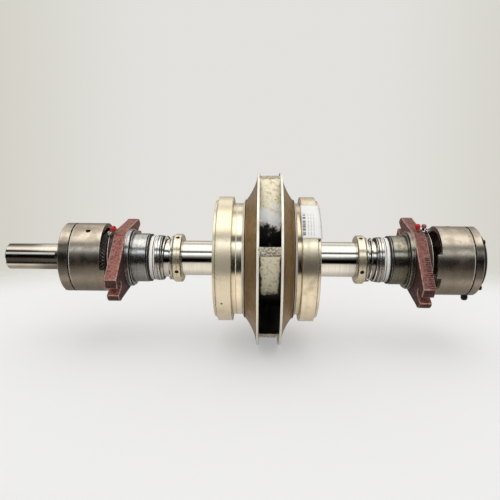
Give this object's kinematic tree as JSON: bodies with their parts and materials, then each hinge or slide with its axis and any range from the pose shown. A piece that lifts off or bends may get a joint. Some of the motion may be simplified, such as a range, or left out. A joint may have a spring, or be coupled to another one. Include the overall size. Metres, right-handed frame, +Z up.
{
  "type": "pump rotating assembly",
  "caption": "Double-suction pump rotor on its shaft with wear rings, mechanical seals, glands and bearing housings.",
  "frame": {"origin": "centre of the raised flat face on the closed end cover at the free end of the shaft", "axes": "+X along the shaft towards the free end, +Z up, -Y the side the picture shows"},
  "size_m": [0.838, 0.305, 0.305],
  "materials": {
    "shaft_steel": "ground and polished",
    "bronze_casting": "rough sand casting, machined at the necks",
    "bronze_turned": "turned",
    "seal_steel": "satin",
    "ceramic": "white glazed ceramic",
    "black_rubber": "satin",
    "primed_iron": "matt red oxide primer, machined at the nose",
    "fitting_chrome": "bright",
    "red_plastic": "glossy",
    "housing_steel": "turned, oiled and mottled"
  },
  "bodies": {
    "root": {"bearing_housing_left": "housing_steel", "bearing_housing_right": "housing_steel", "end_cover_left": "housing_steel", "end_cover_right": "housing_steel", "drain_plug_left": "housing_steel", "drain_plug_right": "housing_steel", "bearing_outer_left": "seal_steel", "bearing_outer_right": "seal_steel", "shaft_lip_seal": "black_rubber", "gland_left": "primed_iron", "gland_right": "primed_iron", "gland_seal_ring_left": "black_rubber", "gland_seal_ring_right": "black_rubber", "seal_seat_left": "ceramic", "seal_seat_right": "ceramic", "seal_cup_left": "black_rubber", "seal_cup_right": "black_rubber", "flush_fitting_left": "fitting_chrome", "flush_fitting_right": "fitting_chrome", "port_cap_left": "red_plastic", "port_cap_right": "red_plastic", "wear_ring_left": "bronze_turned", "wear_ring_right": "bronze_turned"},
    "rotor": {"shaft": "shaft_steel", "impeller_hub": "bronze_casting", "impeller_shroud_left": "bronze_casting", "impeller_shroud_right": "bronze_casting", "impeller_vane_1": "bronze_casting", "impeller_vane_2": "bronze_casting", "impeller_vane_3": "bronze_casting", "impeller_vane_4": "bronze_casting", "impeller_vane_5": "bronze_casting", "impeller_vane_6": "bronze_casting", "sleeve_left": "shaft_steel", "sleeve_right": "shaft_steel", "collar_left": "bronze_turned", "collar_right": "bronze_turned", "seal_washer_left": "seal_steel", "seal_washer_right": "seal_steel", "seal_spring_left": "seal_steel", "seal_spring_right": "seal_steel", "seal_head_left": "seal_steel", "seal_head_right": "seal_steel", "bearing_inner_left": "seal_steel", "bearing_inner_right": "seal_steel"}
  },
  "joints": [
    {"name": "shaft_spin", "type": "hinge", "parent": "root", "child": "rotor", "pos_m": [-0.3695, 0, 0], "axis": [1, 0, 0], "continuous": true}
  ]
}
